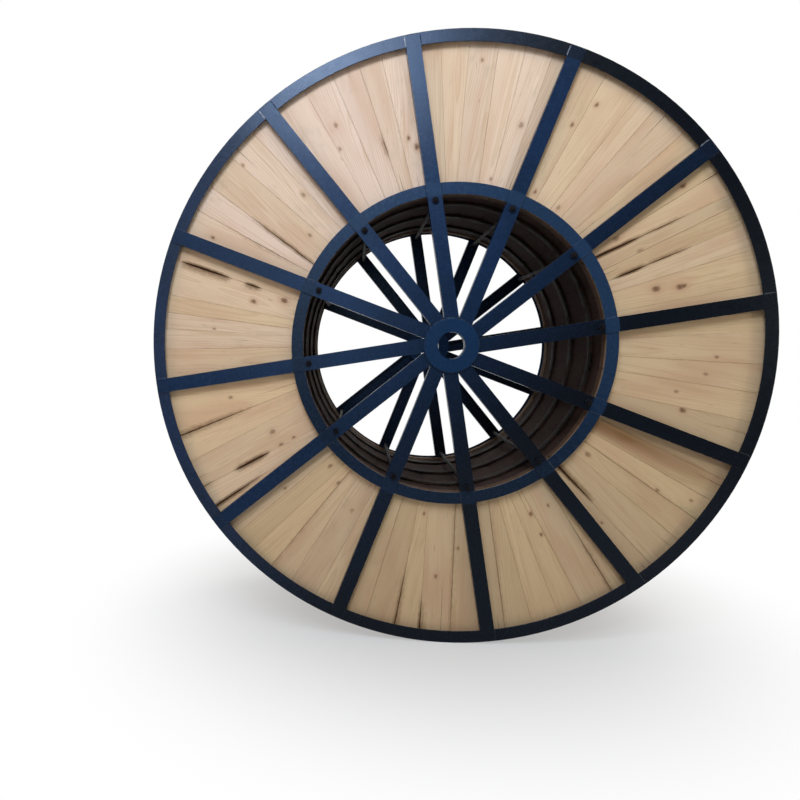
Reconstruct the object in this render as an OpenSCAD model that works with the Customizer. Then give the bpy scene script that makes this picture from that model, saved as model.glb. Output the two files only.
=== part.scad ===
// Steel-framed cable drum with boarded flanges and a staved barrel.
// Its axis lies along Y, its front flange faces -Y, and its origin is the middle of the drum.
// It stands on its two rims. Each flange is drawn with its axis along Z and is then laid over.

/* [Drum] */
// Diameter over the rims
flange_d = 2500; // [1800:10:3200]
// Width over the outer faces of the spokes
drum_w = 1000; // [600:10:1600]

/* [Rim and ring] */
// Wall of the rim, ring and spoke sections
steel_t = 5; // [4:0.5:8]
// Fillet between the legs of the rolled sections
root_r = 5; // [2:0.5:8]
// Radial length of the rim channel's legs
rim_leg = 50; // [40:1:70]
// Diameter over the inner ring
ring_d = 1312; // [1000:4:1500]
// Radial length of the ring angle's face
ring_leg = 48; // [44:1:70]

/* [Spokes] */
// Number of spokes on each flange
spoke_count = 12; // [8:1:12]
// Turn of the first spoke from level
spoke_phase = 7.6; // [0:0.1:30]
// Width of a spoke across its web
spoke_w = 58; // [40:1:66]
// Depth of a spoke over its legs
spoke_d = 37; // [25:1:60]
// How far the middle line of a spoke passes beside the drum's axis
spoke_offset = 17; // [0:0.5:25]
// Bare edge of the rim past the end of a spoke
spoke_end_edge = 6; // [2:1:20]
// Half the room between neighbouring spokes where they meet at the hub
spoke_root_gap = 1; // [0.5:0.1:4]

/* [Hub] */
// Bore for the arbor
bore_d = 110; // [70:1:130]
// Wall of the bush round the bore
bush_t = 11.5; // [6:0.5:20]
// Thickness of the two hub plates
plate_t = 10; // [6:1:20]
// Diameter of the two hub plates
plate_d = 220; // [190:1:300]
// How far the hub plates lap over the spokes
plate_lap = 13; // [8:1:20]

/* [Flange boards] */
// Thickness of the flange boards
board_t = 43; // [25:1:65]
// Gap between boards
board_gap = 2; // [0.5:0.1:4]
// Room between the boards' outer ends and the fillets of the rim
board_play = 2; // [1:0.5:8]
// How far the boards' inner ends lie outside the ring's inner edge
board_setback = 4; // [1:0.5:8]

/* [Barrel] */
// Number of staves round the barrel
stave_count = 36; // [24:1:60]
// Thickness of the staves
stave_t = 30; // [20:1:34]
// Gap between staves
stave_gap = 1.5; // [0.5:0.1:4]
// How far the staves' outer edges lie inside the ring's outer edge
stave_edge = 6; // [2:0.5:12]
// Number of hoops inside the barrel
hoop_count = 3; // [2:1:5]
// Width of a hoop along the barrel
hoop_w = 50; // [30:1:80]
// Thickness of a hoop
hoop_t = 8; // [5:0.5:12]

/* [Tie rods] */
// Diameter of the tie rods
rod_d = 16; // [12:1:20]
// Distance of the rods' centres inside the ring
rod_inset = 20; // [18:1:60]
// Length of rod that stands out of its nut
rod_tail = 9; // [3:1:20]

/* [Hidden] */
// Clearance where one piece passes through or round another
fit_gap = 0.3;
// Overrun of the tools that cut through a wall
cut_over = 1;
$fn = 96;

// Seams between the boards of each bay, as shares of the bay at the ring and at the rim.
// The boards are cut from planks of many widths, so the seams aren't quite radial.
bay_seams = [
    [[0.13, 0.12], [0.36, 0.34], [0.49, 0.50], [0.63, 0.63], [0.82, 0.70], [0.89, 0.86]],
    [[0.20, 0.18], [0.41, 0.41], [0.57, 0.54], [0.76, 0.78]],
    [[0.14, 0.13], [0.30, 0.30], [0.44, 0.47], [0.70, 0.65], [0.82, 0.83]],
    [[0.21, 0.21], [0.36, 0.36], [0.55, 0.54], [0.76, 0.74]],
    [[0.17, 0.17], [0.39, 0.38], [0.72, 0.61], [0.82, 0.79]],
    [[0.19, 0.15], [0.43, 0.39], [0.53, 0.51], [0.63, 0.62], [0.76, 0.76]],
    [[0.26, 0.37], [0.45, 0.56], [0.82, 0.75], [0.93, 0.91]],
    [[0.20, 0.15], [0.40, 0.30], [0.49, 0.47], [0.59, 0.64], [0.86, 0.83]],
    [[0.20, 0.20], [0.40, 0.40], [0.50, 0.57], [0.85, 0.77]],
    [[0.24, 0.13], [0.34, 0.31], [0.48, 0.49], [0.62, 0.65], [0.92, 0.86]],
    [[0.13, 0.16], [0.37, 0.39], [0.55, 0.56], [0.68, 0.71], [0.86, 0.86]],
    [[0.18, 0.26], [0.45, 0.44], [0.62, 0.62], [0.81, 0.83]]
];

// Radii
rim_r = flange_d / 2;
rim_in_r = rim_r - rim_leg;
ring_r = ring_d / 2;
ring_in_r = ring_r - ring_leg;
board_in_r = ring_in_r + board_setback;
board_out_r = rim_r - steel_t - root_r - board_play;
spoke_out_r = rim_r - spoke_end_edge;
bore_r = bore_d / 2;
bush_r = bore_r + bush_t;
plate_r = plate_d / 2;
spoke_in_r = plate_r - plate_lap;
stave_half_angle = 180 / stave_count;
stave_out_r = (ring_r - stave_edge) * cos(stave_half_angle);
stave_in_r = stave_out_r - stave_t;
hoop_out_r = stave_in_r - fit_gap;
hoop_in_r = hoop_out_r - hoop_t;
rod_circle_r = min(ring_in_r, hoop_in_r) - rod_inset;

// Heights above the middle of the drum, along its axis
outer_z = drum_w / 2;
rim_front_z = outer_z - steel_t;
board_front_z = outer_z - spoke_d;
board_back_z = board_front_z - board_t;
rim_back_z = board_back_z - steel_t;
hub_front_z = outer_z + plate_t;
hub_back_z = board_front_z - plate_t;

// Fasteners, to the usual proportions of a hexagon nut
nut_af = 1.5 * rod_d;
nut_h = 0.8 * rod_d;
rod_z = outer_z + nut_h + rod_tail;
rod_chamfer = rod_d / 10;

bay_angle = 360 / spoke_count;

// A spoke's turn from its radius: the two cross midway between the ring and the rim
spoke_lean = asin(2 * spoke_offset / (ring_r + rim_r));
// Direction, seen from the axis, in which a spoke's edge meets that of the next spoke
root_near = spoke_w / 2 - spoke_offset + spoke_root_gap;
root_far = spoke_w / 2 + spoke_offset + spoke_root_gap;
root_angle = atan2(root_near * sin(bay_angle), root_far + root_near * cos(bay_angle));
// Place of the tie rod along its spoke
rod_along = sqrt(pow(rod_circle_r, 2) - pow(spoke_offset, 2));

sides = ["front", "back"];

function spoke_angle(i) = spoke_phase + (i - 1) * bay_angle;

// A point at a radius along a direction, set off sideways from it
function beside(radius, angle, offset) = [
    radius * cos(angle) - offset * sin(angle),
    radius * sin(angle) + offset * cos(angle)
];

// Direction of a spoke's middle line
function spoke_direction(i) = spoke_angle(i) + spoke_lean;

// Turns the drum's axis from Z to Y, with the front towards -Y
module lay_over() {
    rotate([90, 0, 0]) children();
}

// Places one flange: the front as drawn, the back as its mirror image
module flange(side) {
    lay_over() mirror([0, 0, side == "back" ? 1 : 0]) children();
}

// Lays something drawn along X on the middle line of a spoke
module along_spoke(i) {
    rotate(spoke_direction(i)) translate([0, -spoke_offset, 0]) children();
}

// A rectangle with its two corners on the far X side rounded to the fillet's radius
module filleted_hollow(size) {
    square([size.x - root_r, size.y]);
    translate([0, root_r]) square([size.x, size.y - 2 * root_r]);
    for (y = [root_r, size.y - root_r]) translate([size.x - root_r, y]) circle(root_r);
}

// Rim: a channel rolled with its web outside, so that the boards stand in it
module rim() {
    width = rim_front_z - rim_back_z;
    color("midnightblue") rotate_extrude() difference() {
        translate([rim_in_r, rim_back_z]) square([rim_leg, width]);
        translate([rim_in_r - cut_over, rim_back_z + steel_t])
            filleted_hollow([rim_leg - steel_t + cut_over, width - 2 * steel_t]);
    }
}

// Ring: an angle rolled with one leg as its face and the other standing on the boards outside
module ring() {
    depth = rim_front_z - board_front_z;
    hollow = ring_leg - steel_t + cut_over;
    color("midnightblue") rotate_extrude() difference() {
        translate([ring_in_r, board_front_z]) square([ring_leg, depth]);
        translate([ring_in_r - cut_over, board_front_z - depth])
            filleted_hollow([hollow, 2 * depth - steel_t]);
    }
}

// Hub: a bush with a plate on each side of the spokes
module hub() {
    color("midnightblue") rotate_extrude() polygon([
        [bore_r, hub_back_z],
        [plate_r, hub_back_z],
        [plate_r, board_front_z],
        [bush_r, board_front_z],
        [bush_r, outer_z],
        [plate_r, outer_z],
        [plate_r, hub_front_z],
        [bore_r, hub_front_z]
    ]);
}

// A tube round the drum's axis that is cut from the spoke legs, as deep as the legs are
module leg_notch(from_r, to_r) {
    translate([0, 0, board_front_z - cut_over]) difference() {
        cylinder(r = to_r, h = spoke_d - steel_t + cut_over);
        translate([0, 0, -cut_over]) cylinder(r = from_r, h = spoke_d + 3 * cut_over);
    }
}

// What is trimmed off a spoke's root, to clear the bush and the neighbouring spokes
module root_trim() {
    side = [2 * plate_r, spoke_w, spoke_d + 2 * cut_over];
    translate([0, 0, board_front_z - cut_over]) {
        cylinder(r = spoke_in_r, h = side.z);
        rotate(root_angle) translate([0, -spoke_root_gap, 0]) cube(side);
        rotate(root_angle - bay_angle) translate([0, spoke_root_gap - side.y, 0]) cube(side);
    }
}

// Spoke: a channel with its web outside. The web laps over the ring and the rim and has the
// tie rod's hole, and the legs are notched round both and rest on the boards.
module spoke(i) {
    color("midnightblue") difference() {
        along_spoke(i) translate([0, -spoke_w / 2, board_front_z]) difference() {
            cube([spoke_out_r, spoke_w, spoke_d]);
            translate([-cut_over, steel_t, -cut_over])
                cube([spoke_out_r + 2 * cut_over, spoke_w - 2 * steel_t, spoke_d - steel_t + cut_over]);
            translate([rod_along, spoke_w / 2, 0]) cylinder(d = rod_d + 2 * fit_gap, h = spoke_d + cut_over);
        }
        rotate(spoke_direction(i)) root_trim();
        leg_notch(ring_in_r - fit_gap, ring_r + fit_gap);
        leg_notch(rim_in_r - fit_gap, rim_r + cut_over);
    }
}

// One tapered board between two seams, each given as its angles at the ring and at the rim
module board(from, to) {
    inner_r = board_in_r / cos((to[0] - from[0]) / 2);
    translate([0, 0, board_back_z]) linear_extrude(board_t) polygon([
        beside(inner_r, from[0], board_gap / 2),
        beside(board_out_r, from[1], board_gap / 2),
        beside(board_out_r, to[1], -board_gap / 2),
        beside(inner_r, to[0], -board_gap / 2)
    ]);
}

// The boards of one bay. Its first and last seams lie under the spokes.
module bay_boards(i) {
    seams = concat([[0, 0]], bay_seams[(i - 1) % len(bay_seams)], [[1, 1]]) * bay_angle;
    color("burlywood") rotate(spoke_angle(i)) for (k = [1:len(seams) - 1])
        board(seams[k - 1], seams[k]);
}

// Staves: flat planks round the barrel, clamped between the boards of the two flanges
module barrel_staves() {
    inner_half = stave_in_r * tan(stave_half_angle) - stave_gap / 2;
    outer_half = stave_out_r * tan(stave_half_angle) - stave_gap / 2;
    color("saddlebrown") lay_over() for (k = [0:stave_count - 1])
        rotate(spoke_phase + k * 360 / stave_count)
            translate([0, 0, -board_back_z]) linear_extrude(2 * board_back_z) polygon([
                [stave_in_r, -inner_half],
                [stave_out_r, -outer_half],
                [stave_out_r, outer_half],
                [stave_in_r, inner_half]
            ]);
}

// Hoops: flat bar rolled to the inside of the staves
module hoops() {
    pitch = 2 * board_back_z / hoop_count;
    color("midnightblue") lay_over() for (k = [0:hoop_count - 1])
        translate([0, 0, (k - (hoop_count - 1) / 2) * pitch - hoop_w / 2]) difference() {
            cylinder(r = hoop_out_r, h = hoop_w);
            translate([0, 0, -cut_over]) cylinder(r = hoop_in_r, h = hoop_w + 2 * cut_over);
        }
}

// Puts a copy at the tie rod of each spoke
module at_rods() {
    for (i = [1:spoke_count]) along_spoke(i) translate([rod_along, 0, 0]) children();
}

// Tie rods: they draw the two flanges together over the staves
module tie_rods() {
    color("silver") lay_over() at_rods() rotate_extrude() polygon([
        [0, -rod_z],
        [rod_d / 2 - rod_chamfer, -rod_z],
        [rod_d / 2, rod_chamfer - rod_z],
        [rod_d / 2, rod_z - rod_chamfer],
        [rod_d / 2 - rod_chamfer, rod_z],
        [0, rod_z]
    ]);
}

// Nuts of the tie rods, on the outer faces of the spokes
module tie_nuts() {
    color("dimgray") for (side = sides) flange(side) at_rods() translate([0, 0, outer_z]) difference() {
        cylinder(d = nut_af / cos(30), h = nut_h, $fn = 6);
        translate([0, 0, -cut_over]) cylinder(d = rod_d + 2 * fit_gap, h = nut_h + 2 * cut_over);
    }
}

for (side = sides) {
    flange(side) rim();
    flange(side) ring();
    flange(side) hub();
    for (i = [1:spoke_count]) {
        flange(side) spoke(i);
        flange(side) bay_boards(i);
    }
}
barrel_staves();
hoops();
tie_rods();
tie_nuts();
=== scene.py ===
"""Looks of the steel-framed cable drum: sawn boards and staves, weld beads and painted steel."""
import math
import random

import bmesh
import bpy
import numpy as np
from mathutils import Euler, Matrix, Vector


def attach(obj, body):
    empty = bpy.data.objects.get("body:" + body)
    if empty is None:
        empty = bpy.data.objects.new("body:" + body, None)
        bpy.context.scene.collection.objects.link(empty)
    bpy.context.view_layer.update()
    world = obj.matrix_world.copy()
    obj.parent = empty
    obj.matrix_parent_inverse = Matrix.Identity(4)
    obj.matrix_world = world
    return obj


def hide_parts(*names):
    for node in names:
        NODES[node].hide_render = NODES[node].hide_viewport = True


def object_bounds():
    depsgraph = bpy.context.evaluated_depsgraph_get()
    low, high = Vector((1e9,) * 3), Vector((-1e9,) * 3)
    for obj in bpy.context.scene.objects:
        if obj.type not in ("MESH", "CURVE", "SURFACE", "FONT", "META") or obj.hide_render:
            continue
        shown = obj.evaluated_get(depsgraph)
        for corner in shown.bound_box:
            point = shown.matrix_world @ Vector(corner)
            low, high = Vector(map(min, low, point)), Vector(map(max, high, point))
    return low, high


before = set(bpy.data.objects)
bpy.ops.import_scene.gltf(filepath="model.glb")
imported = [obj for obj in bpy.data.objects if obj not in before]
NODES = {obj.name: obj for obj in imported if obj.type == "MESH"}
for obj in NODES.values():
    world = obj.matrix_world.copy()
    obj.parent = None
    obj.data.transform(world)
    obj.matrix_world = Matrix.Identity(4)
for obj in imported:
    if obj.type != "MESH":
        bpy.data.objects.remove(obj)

CAD_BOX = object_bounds()
MM = 0.001
SIDES = (("front", -1.0), ("back", 1.0))    # the flanges, and which way along y they face

# Sizes of the frame in metres and degrees, as in the part's source
BAYS, SPOKE_PHASE = 12, 7.6
BAY_ANGLE = 360 / BAYS
RIM_OUTER, RIM_INNER = 1.250, 1.200
RING_OUTER, RING_INNER = 0.656, 0.608
HUB_PLATE = 0.110
SPOKE_END, SPOKE_HALF, SPOKE_OFFSET = 1.244, 0.029, 0.017
SPOKE_LEAN = math.asin(2 * SPOKE_OFFSET / (RING_OUTER + RIM_OUTER))
HUB_ARC = (-0.40, 0.095)           # where a spoke lies along the hub plate's edge, in radians
FACE_Y, SPOKE_Y = 0.495, 0.500     # outer faces of the rim and the ring, and of the spokes
BOARD_INNER, BOARD_LENGTH = 0.612, 0.626

# Knots of the front flange: bay: (radius mm, share of the bay, knot radius mm, darkness 0 to 1)
KNOTS = {
    1: [(831, .262, 12, .6), (921, .226, 11, .45), (936, .226, 8, 1), (824, .636, 11, .35),
        (1084, .910, 8, 1), (769, .857, 10, .5)],
    2: [(987, .814, 7, .8), (1096, .733, 7, .9), (691, .505, 7, .4), (695, .814, 6, .4)],
    3: [(917, .183, 9, .5), (687, .321, 6, .5), (1143, .562, 6, .6)],
    4: [(820, .083, 9, 1), (862, .143, 6, .6), (929, .726, 6, .5), (1022, .667, 8, .3)],
    5: [(874, .214, 8, .4), (1096, .917, 6, 1), (742, .464, 7, .5), (1147, .369, 6, .5)],
    6: [(715, .226, 11, 1), (843, .310, 8, .4), (995, .600, 5, .6)],
    7: [(827, .619, 10, .6), (820, .774, 8, .6), (757, .774, 6, .6), (952, .190, 6, .7)],
    8: [(711, .274, 8, .6), (742, .471, 8, .6), (808, .750, 8, .3), (921, .131, 6, .6)],
    9: [(715, .483, 6, .7), (979, .655, 7, .7), (855, .845, 6, .6)],
    10: [(777, .607, 7, 1), (874, .612, 6, .6), (777, .798, 6, .6)],
    11: [(715, .457, 10, .6), (960, .095, 6, .6), (1022, .571, 7, .6), (1154, .643, 6, .6)],
    12: [(956, .214, 10, 1), (913, .350, 6, .6), (1010, .524, 7, .4), (1042, .655, 6, .7)],
}
KNOT_LAYERS = ("knot_a", "knot_b", "knot_c")    # a plank holds three knots at most
NO_KNOT = (9.0, 9.0, 0.01)                      # a knot too far away to be seen

# Waney seams of the front flange, where bark edges leave a gap: (bay, seam): (from, to, mm),
# along the board from the ring (0) to the rim (1)
WANE = {
    (1, 3): [(.12, .36, 9), (.28, .64, 5)], (1, 5): [(-.2, .42, 12), (.34, .70, 4)],
    (1, 6): [(.84, 1.3, 4)], (4, 2): [(.30, .48, 3)], (5, 3): [(-.1, .64, 4)],
    (5, 4): [(.1, .64, 2)], (6, 1): [(.55, .93, 13), (.33, .47, 8)], (7, 1): [(.36, 1.3, 4.5)],
    (7, 3): [(.42, .72, 10), (.86, 1.3, 5)], (7, 4): [(.54, 1.4, 8)], (8, 3): [(-.4, 1.4, 1.8)],
    (9, 2): [(.46, 1.5, 5)], (9, 3): [(.72, 1.6, 8)], (9, 4): [(-.4, 1.4, 2)],
    (10, 5): [(.36, 1.4, 3)], (10, 1): [(-.4, 1.4, 1.5)], (11, 1): [(-.2, .43, 10)],
    (11, 3): [(-.4, 1.4, 1.2)],
}
WANE_SCALE = 0.75
# How pink and how pale the planks of each bay are, for bays 1 to 12: partly the boards' own tone,
# partly painted light, paler and pinker towards the top left and darker at the bottom and lower
# right
PINK = (.15, .30, .65, .95, .70, .35, .20, .05, .0, .0, .0, .1)
BAY_TONE = (-.3, .3, .2, .5, .8, .4, .9, 0, -.7, -.5, -.6, -.5)
# A brown streak over two planks, beside spoke 12: (bay, plank): (its middle at the ring, its middle
# at the rim), as a share of the plank's width
BROWN_STREAK = {(11, 5): (.57, .88), (11, 6): (-.43, -.12)}
STREAK_WIDTH = 0.55
# How bare the weld at the rim is, on the left of spokes 1 to 12; its light colour is partly a
# painted highlight, strongest at spokes 4 and 5 where the glare falls
RIM_WELD_AND_GLINT = (.12, .3, .42, .9, 1) + (.04,) * 7


def srgb(r, g, b):
    """A colour as it looks on screen, in 0 to 255, as the linear colour that shaders take."""
    return tuple(c / 12.92 if c <= 0.04045 else ((c + 0.055) / 1.055) ** 2.4
                 for c in (r / 255, g / 255, b / 255))


STREAK_BROWN, MOULD = srgb(138, 98, 56), srgb(150, 138, 108)
NAVY_DEEP, NAVY = srgb(17, 36, 62), srgb(21, 46, 80)
MOTTLE_LIGHT, MOTTLE_DARK = srgb(26, 52, 86), srgb(10, 20, 36)
# near black for the painted shade of the steel, and grey for the rim's dust
SHADE_BLACK, RIM_GREY = srgb(8, 9, 11), srgb(74, 72, 74)
# the ring's painted shade and painted light, and the hub's blue
RING_LOW, RING_HIGH, HUB_BLUE = srgb(14, 26, 38), srgb(38, 62, 90), srgb(17, 50, 84)
DUST, SPECK, WORN_EDGE = srgb(112, 108, 100), srgb(76, 88, 108), srgb(64, 80, 104)
BARE_STEEL, RUST = srgb(98, 96, 96), srgb(92, 60, 42)
# bluish white of bare welds, bright partly as a painted highlight
WELD_LIGHT, WELD_DARK = srgb(206, 212, 222), srgb(160, 168, 182)


# ---- material helper

class Net:
    """A material's node tree, with short calls for the nodes that the finishes are made of."""

    def __init__(self, name):
        self.material = bpy.data.materials.new(name)
        self.material.use_nodes = True
        self.tree = self.material.node_tree
        self.bsdf = self.tree.nodes["Principled BSDF"]

    def put(self, socket, value):
        """Links value to the socket if it is a socket too, and otherwise sets it there."""
        if isinstance(value, bpy.types.NodeSocket):
            self.tree.links.new(value, socket)
        elif hasattr(value, "__len__") and len(value) == 3 and socket.type == "RGBA":
            socket.default_value = (*value, 1)
        else:
            socket.default_value = value

    def math(self, operation, a, b=0.0):
        node = self.tree.nodes.new("ShaderNodeMath")
        node.operation = operation
        self.put(node.inputs[0], a)
        self.put(node.inputs[1], b)
        return node.outputs[0]

    def add(self, a, b):
        return self.math("ADD", a, b)

    def sub(self, a, b):
        return self.math("SUBTRACT", a, b)

    def mul(self, a, b):
        return self.math("MULTIPLY", a, b)

    def over(self, a, b):
        return self.math("DIVIDE", a, b)

    def most(self, a, b):
        return self.math("MAXIMUM", a, b)

    def hypot(self, a, b):
        return self.math("SQRT", self.add(self.mul(a, a), self.mul(b, b)))

    def vector(self, operation, a, b):
        node = self.tree.nodes.new("ShaderNodeVectorMath")
        node.operation = operation
        self.put(node.inputs[0], a)
        self.put(node.inputs[1], b)
        return node.outputs["Value" if operation == "DOT_PRODUCT" else "Vector"]

    def parts(self, vector):
        node = self.tree.nodes.new("ShaderNodeSeparateXYZ")
        self.put(node.inputs[0], vector)
        return node.outputs

    def join(self, x, y, z):
        node = self.tree.nodes.new("ShaderNodeCombineXYZ")
        for socket, value in zip(node.inputs, (x, y, z)):
            self.put(socket, value)
        return node.outputs[0]

    def attribute(self, name, output="Vector"):
        node = self.tree.nodes.new("ShaderNodeAttribute")
        node.attribute_name = name
        return node.outputs[output]

    def geometry(self, output):
        return self.tree.nodes.new("ShaderNodeNewGeometry").outputs[output]

    def noise(self, vector, scale, detail=3.0, roughness=0.5):
        node = self.tree.nodes.new("ShaderNodeTexNoise")
        self.put(node.inputs["Vector"], vector)
        for key, value in (("Scale", scale), ("Detail", detail), ("Roughness", roughness)):
            node.inputs[key].default_value = value
        return node.outputs["Fac"]

    def step(self, value, low, high, to_low=0.0, to_high=1.0):
        """A smooth step from to_low to to_high, as value goes from low to high."""
        node = self.tree.nodes.new("ShaderNodeMapRange")
        node.interpolation_type = "SMOOTHSTEP"
        for socket, number in zip(node.inputs, (value, low, high, to_low, to_high)):
            self.put(socket, number)
        return node.outputs[0]

    def mix(self, factor, a, b, blend="MIX"):
        node = self.tree.nodes.new("ShaderNodeMix")
        node.data_type, node.blend_type = "RGBA", blend
        self.put(node.inputs["Factor"], factor)
        self.put(node.inputs[6], a)
        self.put(node.inputs[7], b)
        return node.outputs[2]

    def tint(self, color, other, value, low, high, most=1.0):
        """Mixes other into color, as value goes from low to high, with a share of most at high."""
        return self.mix(self.step(value, low, high, 0.0, most), color, other)

    def bump(self, height, strength, distance):
        node = self.tree.nodes.new("ShaderNodeBump")
        node.inputs["Strength"].default_value = strength
        node.inputs["Distance"].default_value = distance
        self.put(node.inputs["Height"], height)
        self.put(self.bsdf.inputs["Normal"], node.outputs[0])

    def edges(self, radius):
        """1 on edges and corners, 0 on flat faces."""
        bevel = self.tree.nodes.new("ShaderNodeBevel")
        bevel.samples = 4
        bevel.inputs["Radius"].default_value = radius
        dot = self.vector("DOT_PRODUCT", bevel.outputs[0], self.geometry("True Normal"))
        return self.step(dot, 0.995, 0.88)

    def finish(self, color, roughness, specular, gloss_tint=(1.0, 1.0, 1.0)):
        for key, value in (("Base Color", color), ("Roughness", roughness),
                           ("Specular IOR Level", specular)):
            self.put(self.bsdf.inputs[key], value)
        self.bsdf.inputs["Specular Tint"].default_value = (*gloss_tint, 1.0)
        return self.material


# ---- materials

YEAR_RING = 6.2 * MM     # from one year ring to the next
FALL_OFF = 0.3679        # about 1 / e, for how the pull of a knot fades


def wood_material(name, pale, pink, late, heart, knot, bark, contrast, specular, end_dirt_and_shade):
    """Sawn softwood: year rings bent round the knots, streaks, pitch, stains and bark edges."""
    n = Net(name)
    along, across, depth = n.parts(n.attribute("grain"))
    pinkness, tone, edge_stain_and_shade = n.parts(n.attribute("look"))
    knots = halos = None
    bent = across
    for label in KNOT_LAYERS:
        dx, dy, size = n.parts(n.attribute(label))
        kx, ky = n.over(dx, size), n.over(dy, size)
        kx2, ky2 = n.mul(kx, kx), n.mul(ky, ky)
        pull = n.math("POWER", FALL_OFF, n.add(n.mul(kx2, 0.10), n.mul(ky2, 0.16)))
        bent = n.sub(bent, n.mul(n.mul(dy, pull), 0.85))
        ragged = n.mul(n.sub(n.noise(n.join(dx, dy, size), 110.0, 3.0, 0.6), 0.5), 1.3)
        from_eye = n.add(n.math("SQRT", n.add(n.mul(kx2, 0.55), ky2)), ragged)
        eye_here = n.step(from_eye, 1.45, 0.25)
        halo_here = n.step(from_eye, 3.2, 0.6)
        knots = eye_here if knots is None else n.most(knots, eye_here)
        halos = halo_here if halos is None else n.most(halos, halo_here)

    def grain(stretch, scale, detail, roughness=0.5, aside=bent):
        """Noise drawn out along the grain: the smaller stretch is, the longer its streaks are."""
        return n.noise(n.join(n.mul(along, stretch), aside, depth), scale, detail, roughness)

    sway = n.mul(n.sub(grain(0.8, 2.2, 2.0, aside=n.mul(bent, 3)), 0.5), 30 * MM)
    year = n.math("FRACT", n.over(n.add(n.hypot(bent, depth), sway), YEAR_RING))
    late_wood = n.mul(n.step(year, 0.35, 0.90), n.step(year, 1.0, 0.92))
    broad = grain(0.12, 17.0, 2.0)
    fibre = grain(0.03, 420.0, 2.0)

    # pinkness and the tone below come by bay from the tables at the top, and are partly painted
    # light
    color = n.mix(pinkness, pale, pink)
    color = n.mix(n.mul(late_wood, 0.42 * contrast), color, late)
    color = n.tint(color, late, grain(0.045, 70.0, 3.0, 0.6), 0.46, 0.80, 0.55 * contrast)
    color = n.tint(color, heart, broad, 0.50, 0.78, 0.50 * contrast)
    # a brown streak over two planks beside spoke 12
    brown = n.mul(n.attribute("heart", "Fac"), n.step(broad, 0.28, 0.60, 0.88, 1.0))
    color = n.mix(brown, color, STREAK_BROWN)
    color = n.tint(color, late, fibre, 0.55, 0.85, 0.18)
    # small pitch streaks, a darker blush, and grey-green mould in soft clouds
    color = n.tint(color, knot, grain(0.10, 150.0, 1.0), 0.735, 0.82, 0.38)
    blush = grain(0.30, 8.0, 2.0, aside=n.mul(across, 0.8))
    color = n.tint(color, heart, blush, 0.46, 0.72, 0.42)
    cloud = grain(0.5, 9.0, 4.0, 0.65, aside=across)
    color = n.tint(color, MOULD, cloud, 0.56, 0.80, 0.34)
    level = n.add(1.0, n.mul(tone, 0.14))
    color = n.mix(1.0, color, n.join(level, level, level), "MULTIPLY")
    # knots: a brown eye in a wider halo, stronger where the attribute says so
    dark = n.attribute("knot_dark", "Fac")
    color = n.mix(n.mul(n.mul(halos, dark), 0.55), color, heart)
    eye = n.mix(grain(1.0, 240.0, 2.0, aside=across), knot, bark)
    color = n.mix(n.mul(knots, n.add(0.28, n.mul(dark, 0.55))), color, eye)
    # dirt along the seams, bark on waney edges, and painted shade on the staves' backs inside the
    # barrel
    blot = n.sub(grain(0.4, 130.0, 3.0, aside=across), 0.5)
    soiled = n.add(edge_stain_and_shade, n.mul(blot, 0.4))
    stain = n.step(soiled, 0.45, 0.95)
    color = n.tint(color, knot, soiled, 0.02, 0.62, 0.75)
    # darker end grain and painted shade on the ends that face the drum's axis, and painted shade on
    # the boards where the ring covers them
    px, _, pz = n.parts(n.geometry("Position"))
    nx, _, nz = n.parts(n.geometry("Normal"))
    radius = n.hypot(px, pz)
    outward = n.over(n.add(n.mul(nx, px), n.mul(nz, pz)), radius)
    color = n.tint(color, bark, outward, -0.5, -0.8, end_dirt_and_shade)
    color = n.tint(color, bark, radius, RING_OUTER, RING_OUTER - 8 * MM, end_dirt_and_shade)
    color = n.mix(stain, color, bark)
    # relief of the year rings, the fibres and the saw
    grit = grain(0.5, 900.0, 2.0, aside=across)
    saw = n.noise(n.join(along, n.mul(across, 0.04), n.mul(depth, 0.04)), 520.0, 2.0)
    height = n.add(n.add(n.mul(late_wood, 0.5), n.mul(fibre, 0.8)),
                   n.add(n.mul(grit, 0.3), n.mul(saw, 0.35)))
    n.bump(n.add(height, n.mul(stain, n.mul(grit, 2.0))), 0.35, 0.6 * MM)
    return n.finish(color, n.add(0.66, n.mul(fibre, 0.28)), specular)


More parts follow.
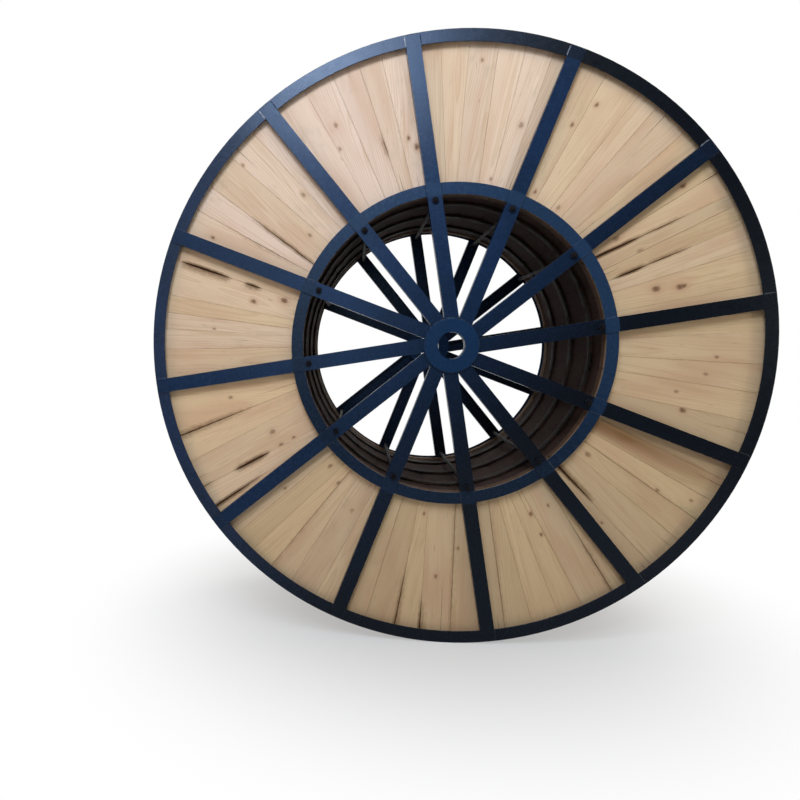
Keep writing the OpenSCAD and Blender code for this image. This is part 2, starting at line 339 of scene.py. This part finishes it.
def paint_material(name, rim_shade, rim_dust):
    """Navy enamel brushed on steel: cloudy, dusty on ledges, with worn edges, welds and tread.

    The first number says how far painted shade blackens the steel outside the rim's inner edge
    towards the right, the second how dusty that steel is.
    """
    n = Net(name)
    where = n.geometry("Position")
    x, _, z = n.parts(where)
    up = n.parts(n.geometry("Normal"))[2]
    radius = n.hypot(x, z)
    cloud = n.noise(where, 3.0, 4.0, 0.6)
    fine = n.noise(where, 38.0, 4.0, 0.65)
    color = n.tint(NAVY_DEEP, NAVY, cloud, 0.32, 0.70)
    color = n.tint(color, MOTTLE_LIGHT, fine, 0.50, 0.78, 0.15)
    color = n.tint(color, MOTTLE_DARK, fine, 0.46, 0.28, 0.16)
    # painted shade: the paint is nearly black towards the lower right, less so on the ring and the
    # hub, and the steel outside the rim's inner edge is blackened towards the right
    hub = n.step(radius, HUB_PLATE + 6 * MM, HUB_PLATE - 4 * MM)
    ring = n.mul(n.step(radius, RING_INNER - 6 * MM, RING_INNER - 1 * MM),
                 n.step(radius, RING_OUTER + 5 * MM, RING_OUTER))
    lower_right = n.add(n.mul(n.sub(x, z), 0.7), n.mul(n.sub(cloud, 0.5), 0.4))
    shade_share = n.sub(1.0, n.mul(n.most(hub, ring), 0.85))
    painted_shade = n.mul(n.step(lower_right, -0.30, 0.52), shade_share)
    at_rim = n.step(radius, RIM_INNER - 4 * MM, RIM_INNER + 0.5 * MM)
    rim_painted_shade = n.mul(n.mul(at_rim, rim_shade), n.step(n.sub(x, n.mul(z, 0.1)), -0.40, 0.45))
    color = n.mix(n.mul(at_rim, rim_dust), color, RIM_GREY)
    color = n.mix(n.mul(n.most(painted_shade, rim_painted_shade), 0.93), color, SHADE_BLACK)
    # painted light and shade on the ring: palest at the upper right, darker to the lower left; the
    # hub is a clear blue
    ring_painted_light = n.tint(RING_LOW, RING_HIGH, n.add(n.mul(x, 0.6), z), -0.35, 0.55)
    color = n.mix(n.mul(ring, 0.6), color, ring_painted_light)
    color = n.mix(n.mul(hub, 0.6), color, HUB_BLUE)
    # dust on what faces up, specks, worn edges, chips, the tread, and welds left bare, whose light
    # colour is partly a painted highlight
    dusty = n.step(n.noise(where, 14.0, 4.0, 0.6), 0.30, 0.65, 0.15, 0.55)
    dust = n.mul(n.step(up, 0.55, 0.95), dusty)
    color = n.mix(dust, color, DUST)
    color = n.tint(color, SPECK, n.noise(where, 130.0, 2.0), 0.70, 0.78, 0.30)
    worn = n.mul(n.edges(2.2 * MM), n.step(n.noise(where, 55.0, 4.0, 0.7), 0.50, 0.62))
    color = n.mix(n.mul(worn, 0.75), color, WORN_EDGE)
    chip = n.step(n.noise(where, 24.0, 5.0, 0.72), 0.715, 0.745)
    scuffed = n.noise(n.vector("MULTIPLY", where, (1, 5, 1)), 9.0, 5.0, 0.7)
    tread = n.mul(n.step(radius, RIM_OUTER - 2.2 * MM, RIM_OUTER - 0.8 * MM),
                  n.step(scuffed, 0.36, 0.58))
    through = n.most(chip, tread)
    rust = n.noise(where, 75.0, 4.0, 0.65)
    color = n.mix(n.mul(through, 0.85), color, n.tint(BARE_STEEL, RUST, rust, 0.38, 0.62))
    weld = n.tint(WELD_LIGHT, WELD_DARK, rust, 0.35, 0.65)
    color = n.mix(n.attribute("bare_and_glint", "Fac"), color, weld)
    brush, peel = n.noise(where, 60.0, 3.0), n.noise(where, 420.0, 2.0)
    height = n.add(n.add(n.mul(brush, 0.8), n.mul(peel, 0.3)), n.mul(chip, -0.6))
    n.bump(height, 0.25, 0.8 * MM)
    rough = n.add(n.add(0.20, n.mul(fine, 0.14)), n.mul(n.most(dust, through), 0.4))
    return n.finish(color, rough, specular=0.34, gloss_tint=(0.60, 0.76, 1.0))


def dull_metal(name, light, dark, rusty, rough, specular):
    """Steel gone dull: mottled, with rust in patches."""
    n = Net(name)
    where = n.geometry("Position")
    color = n.tint(dark, light, n.noise(where, 60.0, 5.0, 0.65), 0.35, 0.65)
    patch = n.step(n.noise(where, 26.0, 5.0, 0.7), 0.48, 0.64)
    color = n.mix(n.mul(patch, 0.8), color, rusty)
    n.bump(n.noise(where, 300.0, 4.0, 0.6), 0.3, 0.6 * MM)
    return n.finish(color, n.add(rough, n.mul(patch, 0.25)), specular)


PINE = wood_material(
    "pine_boards", pale=srgb(221, 192, 150), pink=srgb(228, 203, 184), late=srgb(196, 160, 118),
    heart=srgb(202, 158, 126), knot=srgb(124, 87, 53), bark=srgb(82, 55, 34),
    contrast=0.75, specular=0.28, end_dirt_and_shade=0.8)
# a darker wood than the boards, partly as painted shade to match the dark inside of the barrel
BARREL = wood_material(
    "barrel_wood", pale=srgb(126, 92, 68), pink=srgb(134, 94, 72), late=srgb(88, 60, 44),
    heart=srgb(100, 66, 48), knot=srgb(70, 48, 40), bark=srgb(50, 36, 32),
    contrast=1.2, specular=0.08, end_dirt_and_shade=0.0)
PAINT = paint_material("blue_steel", rim_shade=0.7, rim_dust=0.04)
RIM_PAINT = paint_material("rim_steel", rim_shade=1.0, rim_dust=0.16)
ROD = dull_metal("zinc_steel", light=srgb(20, 21, 24), dark=srgb(13, 14, 17),
                 rusty=srgb(34, 26, 22), rough=0.60, specular=0.08)
NUT = dull_metal("nut_steel", light=srgb(22, 29, 44), dark=srgb(15, 19, 29),
                 rusty=srgb(38, 32, 34), rough=0.50, specular=0.15)
HOOP = dull_metal("dark_steel", light=srgb(44, 36, 32), dark=srgb(24, 21, 21),
                  rusty=srgb(66, 43, 30), rough=0.70, specular=0.10)


# ---- meshes

def solids(node):
    """The corner points of each closed solid in a CAD node."""
    bm = bmesh.new()
    bm.from_mesh(NODES[node].data)
    bmesh.ops.remove_doubles(bm, verts=bm.verts, dist=1e-6)
    bm.verts.ensure_lookup_table()
    bm.verts.index_update()
    left, found = set(range(len(bm.verts))), []
    while left:
        queue = [left.pop()]
        group = list(queue)
        while queue:
            for edge in bm.verts[queue.pop()].link_edges:
                for v in edge.verts:
                    if v.index in left:
                        left.remove(v.index)
                        queue.append(v.index)
                        group.append(v.index)
        found.append(np.array([bm.verts[k].co[:] for k in sorted(group)]))
    bm.free()
    return found


def corner_box(points, radial):
    """A solid's eight corners as box[u][s][d]: u along it, s round the drum, d in from its face."""
    middle = points.mean(0)
    r = np.hypot(points[:, 0], points[:, 2])
    turn = middle[0] * points[:, 2] - middle[2] * points[:, 0]
    along, inward = (r, -np.abs(points[:, 1])) if radial else (points[:, 1], -r)
    order = np.argsort(along)
    box = np.zeros((2, 2, 2, 3))
    for u, half in enumerate((order[:4], order[4:])):
        half = half[np.argsort(inward[half])]
        for d, pair in enumerate((half[:2], half[2:])):
            for s, k in enumerate(pair[np.argsort(turn[pair])]):
                box[u, s, d] = points[k]
    return box


def box_length(box):
    return np.linalg.norm(box[1].mean((0, 1)) - box[0].mean((0, 1)))


def end_width(box, end):
    return np.linalg.norm(box[end, 1].mean(0) - box[end, 0].mean(0))


def skin(rows, loop):
    """Faces of a closed skin over rows of loop points each, with both ends capped."""
    faces = [(i * loop + j, i * loop + (j + 1) % loop,
              (i + 1) * loop + (j + 1) % loop, (i + 1) * loop + j)
             for i in range(rows - 1) for j in range(loop)]
    first = tuple(range(loop))
    last = tuple((rows - 1) * loop + j for j in reversed(range(loop)))
    return faces + [first, last]


def add_object(name, data):
    obj = bpy.data.objects.new(name, data)
    bpy.context.scene.collection.objects.link(obj)
    return obj


SHARP_ANGLE = math.radians(38)


def piece(name, chunks, material, replaced=None):
    """One object from several closed meshes, riding on the drum."""
    verts, faces, start = [], [], 0
    for points, polygons, _ in chunks:
        verts.append(points)
        faces += [tuple(k + start for k in polygon) for polygon in polygons]
        start += len(points)
    mesh = bpy.data.meshes.new(name)
    mesh.from_pydata(np.concatenate(verts).tolist(), [], faces)
    for label in chunks[0][2]:
        values = np.concatenate([layers[label] for _, _, layers in chunks]).astype(np.float32)
        kind, key = ("FLOAT_VECTOR", "vector") if values.ndim == 2 else ("FLOAT", "value")
        mesh.attributes.new(label, kind, "POINT").data.foreach_set(key, values.ravel())
    bm = bmesh.new()
    bm.from_mesh(mesh)
    bmesh.ops.recalc_face_normals(bm, faces=bm.faces)
    bm.to_mesh(mesh)
    bm.free()
    mesh.shade_smooth()
    mesh.set_sharp_from_angle(angle=SHARP_ANGLE)
    mesh.materials.append(material)
    obj = add_object(name, mesh)
    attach(obj, "root")
    if replaced:
        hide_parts(replaced)


# ---- boards and staves

STATIONS = 42              # cuts along a board
END_STEP = 1.2 * MM        # from a board's end to its first cut
EASE = 0.7 * MM            # rounding of the boards' edges
CLOSE_UP = 0.92 * MM       # how far a tight board swells into the gap beside it
BARK_AT = 2.2 * MM         # a gap this wide shows bark all over its edge
EDGE_DEPTH = 4 * MM        # how deep an edge slopes back where it has no gap
HALO_STEP = 5 * MM         # width of the soiled strip beside an edge
CHECK_LIP = 0.12 * MM      # half the width that a closed check keeps
CHECK_DEPTH = 7            # a check is this many times as deep as half its width
BACK_HOLLOW = 0.25 * MM    # hollow of a board's back
LEAST_RECESS = 0.05 * MM   # how far a face lies in from the solid's face, at the least
END_STAIN = 0.7            # stain of a board's first end, at the least


def wave(u, rng, waves):
    """A smooth random curve over u, from -1 to 1."""
    total = sum(rng.uniform(0.4, 1) * np.sin(2 * math.pi * (f * u + rng.random()))
                for f in waves)
    return total / len(waves)


def opening(u, spans, rng):
    """How wide a waney edge stands open along the board, in metres."""
    width = np.zeros_like(u)
    for start, stop, most in spans:
        t = np.clip((u - start) / (stop - start), 0, 1)
        lens = np.clip(np.sin(math.pi * t), 0, 1) ** 0.75
        width = np.maximum(width, most * MM * lens * (1 + 0.22 * wave(u, rng, (3, 7, 13))))
    return width


def plank(box, low_spans, high_spans, knots, tone, pinkness, heart, back_shade, rng):
    """A sawn board between eight corners: cupped and twisted, with eased or waney edges."""
    length, ends = box_length(box), [end_width(box, k) for k in (0, 1)]
    thick = np.linalg.norm(box[:, :, 1].mean((0, 1)) - box[:, :, 0].mean((0, 1)))
    inset = END_STEP / length
    u = np.concatenate([[0], np.linspace(inset, 1 - inset, STATIONS), [1]])
    width = ends[0] + (ends[1] - ends[0]) * u
    close = [CLOSE_UP - rng.uniform(0.05, 0.4) * MM * (0.5 + 0.5 * wave(u, rng, (1, 2, 5)))
             for _ in (0, 1)]
    dirty = [rng.uniform(0.02, 0.26) for _ in (0, 1)]
    gap = [opening(u, spans, rng) for spans in (low_spans, high_spans)]
    shift = rng.uniform(0, 1.4) * MM
    cup = rng.uniform(-0.9, 0.9) * MM
    twist = rng.uniform(-0.7, 0.7) * MM
    bow = rng.uniform(0, 0.8) * MM * np.sin(math.pi * u)
    # a drying check from one end of some boards
    check_at = rng.uniform(0.62, 0.74)
    check_long = rng.uniform(0.10, 0.42) if rng.random() < 0.45 else 0.0
    far_end = rng.random() < 0.6
    check = np.zeros_like(u)
    if check_long:
        run = (1 - u if far_end else u) / check_long
        check = np.clip(1 - run, 0, 1) ** 0.8 * rng.uniform(0.5, 1.1) * MM

    def recess(x):
        """How far the face lies in from the solid's face, at a distance x across the board."""
        s = 2 * x / width - 1
        bend = cup * s * s if cup > 0 else -cup * (1 - s * s)
        return np.maximum(LEAST_RECESS, shift + bend + bow + twist * s * (2 * u - 1) + abs(twist))

    back = np.full_like(u, back_shade)
    bark = [np.clip(g / BARK_AT, 0, 1) for g in gap]

    def edge(side):
        """The side's columns from back to front: (distance in from the side, depth, stain)."""
        opened, start = gap[side], -close[side]
        deep = EDGE_DEPTH + opened
        top = recess(np.zeros_like(u) if side == 0 else width)
        seam = np.maximum(dirty[side], bark[side])
        return [(start + EASE, np.full_like(u, thick), back),
                (start, np.full_like(u, thick - EASE), back),
                (start, deep + top, seam),
                (start + 0.55 * opened, 0.45 * deep + top, seam),
                (start + opened, EASE + top, 0.9 * seam),
                (start + opened + 0.7 * EASE, top, 0.65 * seam)]

    low, high = edge(0), edge(1)
    first, last = low[-1][0], width - high[-1][0]
    spread = last - first
    near = np.minimum(HALO_STEP, 0.12 * spread)
    halo = [0.05 + 0.45 * b for b in bark]
    clean = np.zeros_like(u)

    def on_face(x, stain, depth=0.0):
        return x, recess(x) + depth, stain

    columns = low + [on_face(first + near, halo[0])]
    columns += [on_face(first + share * spread, clean) for share in (0.28, 0.50)]
    crack = first + check_at * spread
    split = np.clip(check / (0.3 * MM), 0, 1)
    for way, depth, stain in ((-1, 0, 0.1), (0, CHECK_DEPTH, 1.0), (1, 0, 0.1)):
        columns.append(on_face(crack + way * (check + CHECK_LIP), stain * split, depth * check))
    columns += [on_face(first + 0.87 * spread, clean), on_face(last - near, halo[1])]
    columns += [(width - x, z, stain) for x, z, stain in reversed(high)]
    columns += [(share * width, np.full_like(u, thick - BACK_HOLLOW), back)
                for share in (0.67, 0.33)]

    x, z, stain = (np.stack(values, 1) for values in zip(*columns))
    stain[0] = np.maximum(stain[0], END_STAIN)
    for row in (0, -1):
        x[row] = width[row] / 2 + (x[row] - width[row] / 2) * (1 - 2 * EASE / width[row])
        z[row] = thick / 2 + (z[row] - thick / 2) * (1 - 2 * EASE / thick)
    s, d, along = x / width[:, None], z / thick, np.repeat(u[:, None], x.shape[1], 1)
    weight = lambda k, t: t if k else 1 - t
    verts = sum((weight(a, along) * weight(b, s) * weight(c, d))[..., None] * box[a, b, c]
                for a in (0, 1) for b in (0, 1) for c in (0, 1)).reshape(-1, 3)

    # what the wood material reads: grain, tones, knots and the brown streak
    metre, flat_x, flat_z = (along * length).ravel(), x.ravel(), z.ravel()
    even = lambda value: np.full_like(metre, value)
    pith_x, pith_z = rng.uniform(-0.2, 1.2) * ends[0], rng.uniform(0.012, 0.07)
    log_place, tilt = rng.uniform(0, 40), rng.uniform(-0.05, 0.05)
    layers = {
        "grain": np.stack([metre + log_place, flat_x - pith_x + tilt * metre, flat_z + pith_z], 1),
        "look": np.stack([even(pinkness), even(tone), stain.ravel()], 1)}
    for label in KNOT_LAYERS:
        layers[label] = np.tile(NO_KNOT, (len(metre), 1))
    for label, (knot_along, knot_across, size, _) in zip(KNOT_LAYERS, knots):
        layers[label] = np.stack([metre - knot_along, flat_x - knot_across, even(size)], 1)
    layers["knot_dark"] = even(max([dark for *_, dark in knots], default=0.0))
    layers["heart"] = even(0.0)
    if heart:
        far = along.ravel()
        off = s.ravel() - heart[0] - (heart[1] - heart[0]) * far
        layers["heart"] = np.exp(-(off / STREAK_WIDTH) ** 2) * np.clip(1.25 - 0.87 * far, 0, 1)
    return verts, skin(*x.shape), layers


def knots_on(box, bay_knots, first_angle):
    """The knots that lie on a board, as (along, across, radius, darkness) in its own metres."""
    found = []
    for radius, share, size, dark in bay_knots:
        u = (radius * MM - BOARD_INNER) / BOARD_LENGTH
        angle = math.radians(first_angle + share * BAY_ANGLE)
        point = np.array([math.cos(angle), math.sin(angle)]) * radius * MM
        low, high = ((box[0, s, 0] * (1 - u) + box[1, s, 0] * u)[[0, 2]] for s in (0, 1))
        width = np.linalg.norm(high - low)
        across = float((point - low) @ (high - low)) / width
        if 0 <= across < width:
            found.append((u * box_length(box), across, size * MM, dark))
    return found[:len(KNOT_LAYERS)]


def random_knots(box, rng):
    """Up to two knots anywhere on a board, as knots_on gives them."""
    length, width = box_length(box), end_width(box, 0)
    return [(rng.uniform(0.1, 0.9) * length, rng.uniform(0.15, 0.85) * width,
             rng.uniform(5, 11) * MM, rng.uniform(0.3, 0.9))
            for _ in range(rng.choice((0, 0, 1, 1, 2)))]


def random_wane(rng):
    """A waney span on some seams, as in WANE."""
    start = rng.uniform(-0.3, 0.7)
    if rng.random() < 0.3:
        return [(start, start + rng.uniform(0.2, 0.7), rng.choice((2, 3, 4, 9)))]
    return []


# stain of the planks' backs: on the staves it is painted shade, as their backs line the inside of
# the barrel
BOARD_BACK_SHADE, STAVE_BACK_SHADE = 0.05, 0.80
STAVE_SEED = 5000
for side, _ in SIDES:
    front = side == "front"
    for bay in range(1, BAYS + 1):
        rng = random.Random(100 * bay + (not front))
        node = f"{side}_boards_{bay}"
        first_angle = SPOKE_PHASE + (bay - 1) * BAY_ANGLE
        middle = math.radians(first_angle + BAY_ANGLE / 2)
        turn = lambda p: math.cos(middle) * p[:, 2].mean() - math.sin(middle) * p[:, 0].mean()
        boxes = [corner_box(p, True) for p in sorted(solids(node), key=turn)]
        wanes = [WANE.get((bay, seam), []) if front else random_wane(rng)
                 for seam in range(1, len(boxes))]
        wanes = [[], *wanes, []]
        chunks = []
        for k, box in enumerate(boxes):
            share = rng.uniform(0.4, 0.7)
            low = [(a, b, WANE_SCALE * w * share) for a, b, w in wanes[k]]
            high = [(a, b, WANE_SCALE * w * (1 - share)) for a, b, w in wanes[k + 1]]
            knots = knots_on(box, KNOTS[bay], first_angle) if front else random_knots(box, rng)
            pinkness = min(1.0, max(0.0, PINK[bay - 1] + rng.uniform(-0.2, 0.2)))
            tone = BAY_TONE[bay - 1] + rng.uniform(-0.45, 0.45)
            heart = BROWN_STREAK.get((bay, k + 1)) if front else None
            chunks.append(plank(box, low, high, knots, tone, pinkness, heart,
                                BOARD_BACK_SHADE, rng))
        piece(f"{node}_planks", chunks, PINE, node)

chunks = []
for k, points in enumerate(solids("barrel_staves")):
    rng = random.Random(STAVE_SEED + k)
    box = corner_box(points, False)
    wane, knots = random_wane(rng), random_knots(box, rng)
    tone, pinkness = rng.uniform(-1, 1), rng.random()
    chunks.append(plank(box, wane, [], knots, tone, pinkness, None, STAVE_BACK_SHADE, rng))
piece("barrel_staves_planks", chunks, BARREL, "barrel_staves")


# ---- weld beads

# A bead's section, in legs: away from the corner along one face, and up the other
BEAD_PROFILE = ((-0.2, -0.2), (1.0, -0.1), (0.82, 0.42), (0.62, 0.62), (0.42, 0.82), (-0.1, 1.0))
BEAD_STEP = 2.2 * MM
SIDE_LEG, END_LEG, HUB_LEG = 4.2 * MM, 4.0 * MM, 5.0 * MM
SHORT_STEPS = 22           # steps of the beads over a spoke's end and round the hub
BEAD_SEEDS = {"front": 77, "back": 78}


def bead(path, across, up, leg, bare_and_glint, rng):
    """A rippled fillet weld along a corner: leg long on both faces, proud in the middle."""
    path, across, up = (np.asarray(v, float) for v in (path, across, up))
    if across.ndim == 1:
        across = np.tile(across, (len(path), 1))
    rows = []
    for k, p in enumerate(path):
        end = min(1.0, 0.45 + 0.3 * min(k, len(path) - 1 - k))
        ripple = 1 + 0.13 * math.sin(2.1 * k + rng.random()) + rng.uniform(-0.08, 0.08)
        size = leg * end * ripple
        rows.append([p + across[k] * a * size + up * b * size for a, b in BEAD_PROFILE])
    verts = np.array(rows).reshape(-1, 3)
    return verts, skin(len(path), len(BEAD_PROFILE)), {"bare_and_glint": np.full(len(verts), bare_and_glint)}


AT_RIM = (RIM_INNER + 3 * MM, SPOKE_END - 1 * MM)
AT_RING = (RING_INNER + 3 * MM, RING_OUTER - 3 * MM)
for side, sign in SIDES:
    rng = random.Random(BEAD_SEEDS[side])
    up = np.array([0, sign, 0])
    chunks = []
    for k in range(BAYS):
        angle = math.radians(SPOKE_PHASE + k * BAY_ANGLE) + SPOKE_LEAN
        out = np.array([math.cos(angle), 0, math.sin(angle)])
        aside = np.array([-math.sin(angle), 0, math.cos(angle)])
        for span in (AT_RIM, AT_RING):
            radii = np.linspace(*span, int((span[1] - span[0]) / BEAD_STEP))
            for way in (-1, 1):
                edge = way * SPOKE_HALF - SPOKE_OFFSET
                path = [out * math.sqrt(r * r - edge * edge) + aside * edge + up * FACE_Y
                        for r in radii]
                # the welds at the rim beside spokes 1 to 5 are lightened as a painted highlight
                shown = way == 1 and span is AT_RIM
                bare_and_glint = RIM_WELD_AND_GLINT[k] if shown else rng.choice((0.0, 0.0, 0.05))
                chunks.append(bead(path, aside * way, up, SIDE_LEG, bare_and_glint, rng))
        half = SPOKE_HALF - 1 * MM
        across = np.linspace(-half, half, SHORT_STEPS) - SPOKE_OFFSET
        path = [out * SPOKE_END + aside * t + up * FACE_Y for t in across]
        chunks.append(bead(path, out, up, END_LEG, 0.0, rng))
        turns = angle + np.linspace(*HUB_ARC, SHORT_STEPS)
        arms = np.stack([np.cos(turns), 0 * turns, np.sin(turns)], 1)
        chunks.append(bead(arms * HUB_PLATE + up * SPOKE_Y, arms, up, HUB_LEG, 0.0, rng))
    piece(f"{side}_weld_beads", chunks, PAINT)


# ---- the CAD nodes that stay: eased edges and their finishes

FINISHES = {"tie_rods": ROD, "tie_nuts": NUT, "hoops": HOOP,
            "front_rim": RIM_PAINT, "back_rim": RIM_PAINT}    # the others are PAINT
ROD_EDGE, FRAME_EDGE = 0.8 * MM, 1.4 * MM
for name, obj in NODES.items():
    if "_boards_" in name or name == "barrel_staves":
        continue
    obj.data.materials.clear()
    obj.data.materials.append(FINISHES.get(name, PAINT))
    weld = obj.modifiers.new("weld", "WELD")
    weld.merge_threshold = 1e-6
    bevel = obj.modifiers.new("eased_edges", "BEVEL")
    bevel.width = ROD_EDGE if name.startswith("tie_") else FRAME_EDGE
    bevel.segments = 2
    bevel.limit_method = "ANGLE"
    bevel.angle_limit = math.radians(40)
    bevel.harden_normals = True


# ---- floor: pale, and white to the camera and to reflections away from the drum's shadow

FLOOR_Z, FLOOR_HALF = CAD_BOX[0][2], 40.0
n = Net("pale_floor")
where = n.geometry("Position")
fx, fy, _ = n.parts(where)
tone = n.mix(n.noise(where, 1.5, 4.0), (0.70, 0.70, 0.70), (0.74, 0.74, 0.74))
n.finish(tone, 0.85, specular=0.2)
rays = n.tree.nodes.new("ShaderNodeLightPath").outputs
mirrored = n.mul(n.most(rays["Is Glossy Ray"], rays["Is Transmission Ray"]), n.step(fy, 0.5, 2.0))
seen = n.most(rays["Is Camera Ray"], mirrored)
emission = n.tree.nodes.new("ShaderNodeEmission")
mixer = n.tree.nodes.new("ShaderNodeMixShader")
n.put(mixer.inputs[0], n.mul(seen, n.step(n.hypot(fx, fy), 0.4, 1.8, 0.40)))
n.put(mixer.inputs[1], n.bsdf.outputs[0])
n.put(mixer.inputs[2], emission.outputs[0])
n.put(n.tree.nodes["Material Output"].inputs[0], mixer.outputs[0])
floor_mesh = bpy.data.meshes.new("floor")
floor_mesh.from_pydata([(a * FLOOR_HALF, b * FLOOR_HALF, FLOOR_Z)
                        for a, b in ((-1, -1), (1, -1), (1, 1), (-1, 1))], [], [(0, 1, 2, 3)])
floor_mesh.materials.append(n.material)
floor = add_object("floor", floor_mesh)


# ---- world: a dim warm room, white to the camera and to reflections of what is behind the drum

ROOM_COLOR, ROOM_STRENGTH = (1.0, 0.98, 0.95, 1), 0.13
world = bpy.data.worlds.new("studio")
bpy.context.scene.world = world
world.use_nodes = True
tree = world.node_tree
room = tree.nodes["Background"]
room.inputs["Color"].default_value = ROOM_COLOR
room.inputs["Strength"].default_value = ROOM_STRENGTH
white = tree.nodes.new("ShaderNodeBackground")
white.inputs["Color"].default_value = (1, 1, 1, 1)
rays = tree.nodes.new("ShaderNodeLightPath").outputs
direction = tree.nodes.new("ShaderNodeSeparateXYZ")
coordinates = tree.nodes.new("ShaderNodeTexCoord").outputs["Generated"]
tree.links.new(coordinates, direction.inputs[0])


def world_math(operation, a, b):
    """A math node of the world, held to 0 to 1; a and b are sockets or floats."""
    node = tree.nodes.new("ShaderNodeMath")
    node.operation, node.use_clamp = operation, True
    for socket, value in zip(node.inputs, (a, b)):
        if isinstance(value, float):
            socket.default_value = value
        else:
            tree.links.new(value, socket)
    return node.outputs[0]


behind = world_math("MULTIPLY", direction.outputs[1], 3.0)
other = world_math("MAXIMUM", rays["Is Glossy Ray"], rays["Is Transmission Ray"])
seen = world_math("MAXIMUM", rays["Is Camera Ray"], world_math("MULTIPLY", other, behind))
blend = tree.nodes.new("ShaderNodeMixShader")
tree.links.new(seen, blend.inputs[0])
tree.links.new(room.outputs[0], blend.inputs[1])
tree.links.new(white.outputs[0], blend.inputs[2])
tree.links.new(blend.outputs[0], tree.nodes["World Output"].inputs[0])


# ---- lamps and camera

def panel(name, place, aim, size, power, color):
    """A rectangular lamp at place that faces aim."""
    lamp = bpy.data.lights.new(name, "AREA")
    lamp.shape, lamp.size, lamp.size_y = "RECTANGLE", *size
    lamp.energy, lamp.color = power, color
    obj = add_object(name, lamp)
    x, y, z = np.array(aim) - np.array(place)
    yaw, pitch = math.atan2(y, x), math.atan2(z, math.hypot(x, y))
    obj.location = place
    obj.rotation_euler = Euler((math.pi / 2 + pitch, 0, yaw - math.pi / 2))


# name, place, aim, size in metres, power in watts, colour
for lamp in (
        ("near_left", (-0.5, -2.7, 2.0), (-0.1, -0.45, 0.6), (1.4, 1.0), 40, (0.70, 0.82, 1.0)),
        ("near_right", (1.2, -2.4, 2.7), (0.3, -0.45, 0.3), (2.0, 0.6), 13, (1.0, 0.97, 0.78)),
        ("glare", (-0.80, -5.4, 3.2), (-0.3, -0.5, 0.6), (0.9, 1.0), 58, (0.97, 0.97, 1.0)),
        ("sheen_left", (-1.3, -5.4, 0.8), (-0.2, -0.5, 0.0), (2.5, 2.2), 20, (0.84, 0.94, 1.0)),
        ("side_left", (-3.2, -2.4, -0.1), (-0.5, -0.45, 0.1), (1.2, 1.2), 9, (1.0, 0.66, 0.55)),
        ("side_right", (3.6, -2.6, 0.3), (0.5, -0.45, 0.2), (1.2, 1.2), 17, (1.0, 0.95, 0.82)),
        ("fill_back", (2.0, 5.0, 4.2), (0, 0.4, 0.0), (3.0, 3.0), 190, (1.0, 0.98, 0.95))):
    panel(*lamp)

CAMERA_PLACE, CAMERA_TURN = (-0.36561, -3.34823, -0.01219), (85.7465, 0.2289, 6.1590)
camera = add_object("camera", bpy.data.cameras.new("camera"))
camera.location = CAMERA_PLACE
camera.rotation_euler = Euler([math.radians(a) for a in CAMERA_TURN])
camera.data.sensor_width = 36.0
camera.data.lens = 30.7232
camera.data.shift_x = 0.14085
bpy.context.scene.camera = camera
bpy.context.scene.view_settings.view_transform = "Standard"
